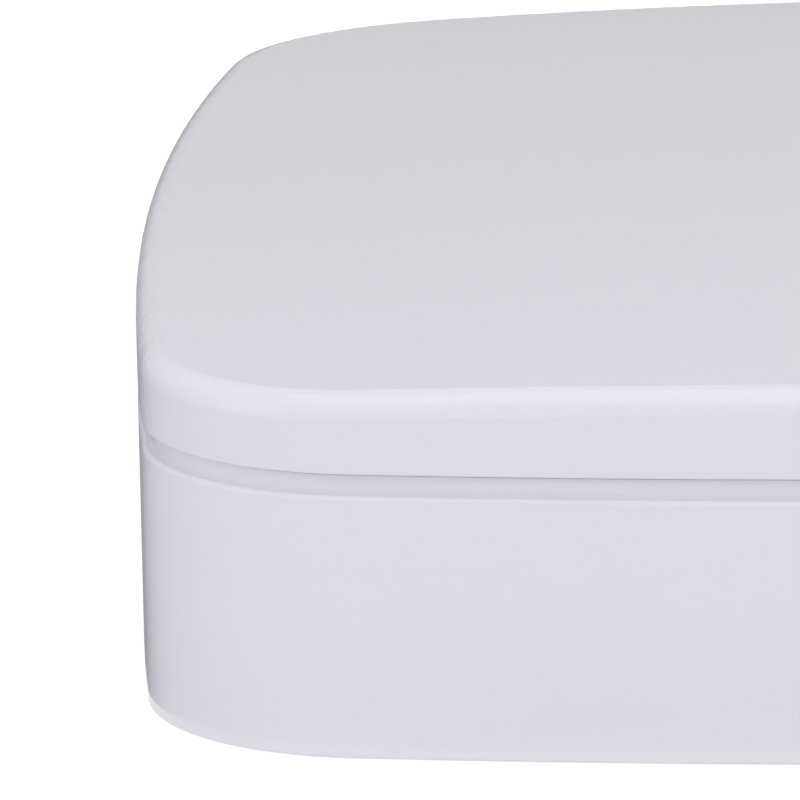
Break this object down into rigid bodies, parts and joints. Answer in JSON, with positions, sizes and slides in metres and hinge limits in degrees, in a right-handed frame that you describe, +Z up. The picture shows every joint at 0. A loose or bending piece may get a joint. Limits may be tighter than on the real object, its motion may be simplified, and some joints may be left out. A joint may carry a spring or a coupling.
{
  "type": "vanity trinket box",
  "caption": "Square lidded trinket box with bowed sides and rounded corners, a crowned hinged lid with a mirror inside, ring rolls and small compartments.",
  "frame": {"origin": "middle of the felt that the box stands on, on its lower face", "axes": "+Z up, -Y towards the front, +X to the right seen from the front"},
  "size_m": [0.2, 0.2025, 0.0438],
  "materials": {
    "white_lacquer": "satin",
    "bottom_board": "matte",
    "screw_metal": "polished",
    "underside_felt": "felt",
    "clear_bumper": "gloss",
    "hinge_metal": "polished",
    "hinge_pin_metal": "polished",
    "magnet_plating": "polished",
    "mirror_glass": "polished",
    "foam_tape": "matte",
    "velvet": "velvet",
    "roll_velvet": "velvet",
    "border_velvet": "velvet"
  },
  "bodies": {
    "base": {"base_hinge_screws": "screw_metal", "base_magnet_left": "magnet_plating", "base_magnet_right": "magnet_plating", "base_shell": "white_lacquer", "bottom_panel": "bottom_board", "bottom_panel_screws": "screw_metal", "closing_bumpers": "clear_bumper", "divider_back_left": "velvet", "divider_back_right": "velvet", "divider_front": "velvet", "divider_long": "velvet", "floor_pad": "velvet", "hinge_left_base_leaf": "hinge_metal", "hinge_left_pin": "hinge_pin_metal", "hinge_right_base_leaf": "hinge_metal", "hinge_right_pin": "hinge_pin_metal", "ring_roll_1": "roll_velvet", "ring_roll_2": "roll_velvet", "ring_roll_3": "roll_velvet", "ring_roll_4": "roll_velvet", "ring_roll_5": "roll_velvet", "ring_roll_6": "roll_velvet", "ring_roll_7": "roll_velvet", "underside_felt": "underside_felt", "wall_liner": "velvet"},
    "lid": {"hinge_left_lid_leaf": "hinge_metal", "hinge_right_lid_leaf": "hinge_metal", "lid_border": "border_velvet", "lid_hinge_screws": "screw_metal", "lid_magnet_left": "magnet_plating", "lid_magnet_right": "magnet_plating", "lid_panel": "white_lacquer", "mirror": "mirror_glass", "mirror_backing": "foam_tape"}
  },
  "joints": [
    {"name": "lid_hinge", "type": "hinge", "parent": "base", "child": "lid", "pos_m": [0, 0.10061, 0.0311], "axis": [-1, 0, 0], "range_deg": [0, 100]}
  ]
}
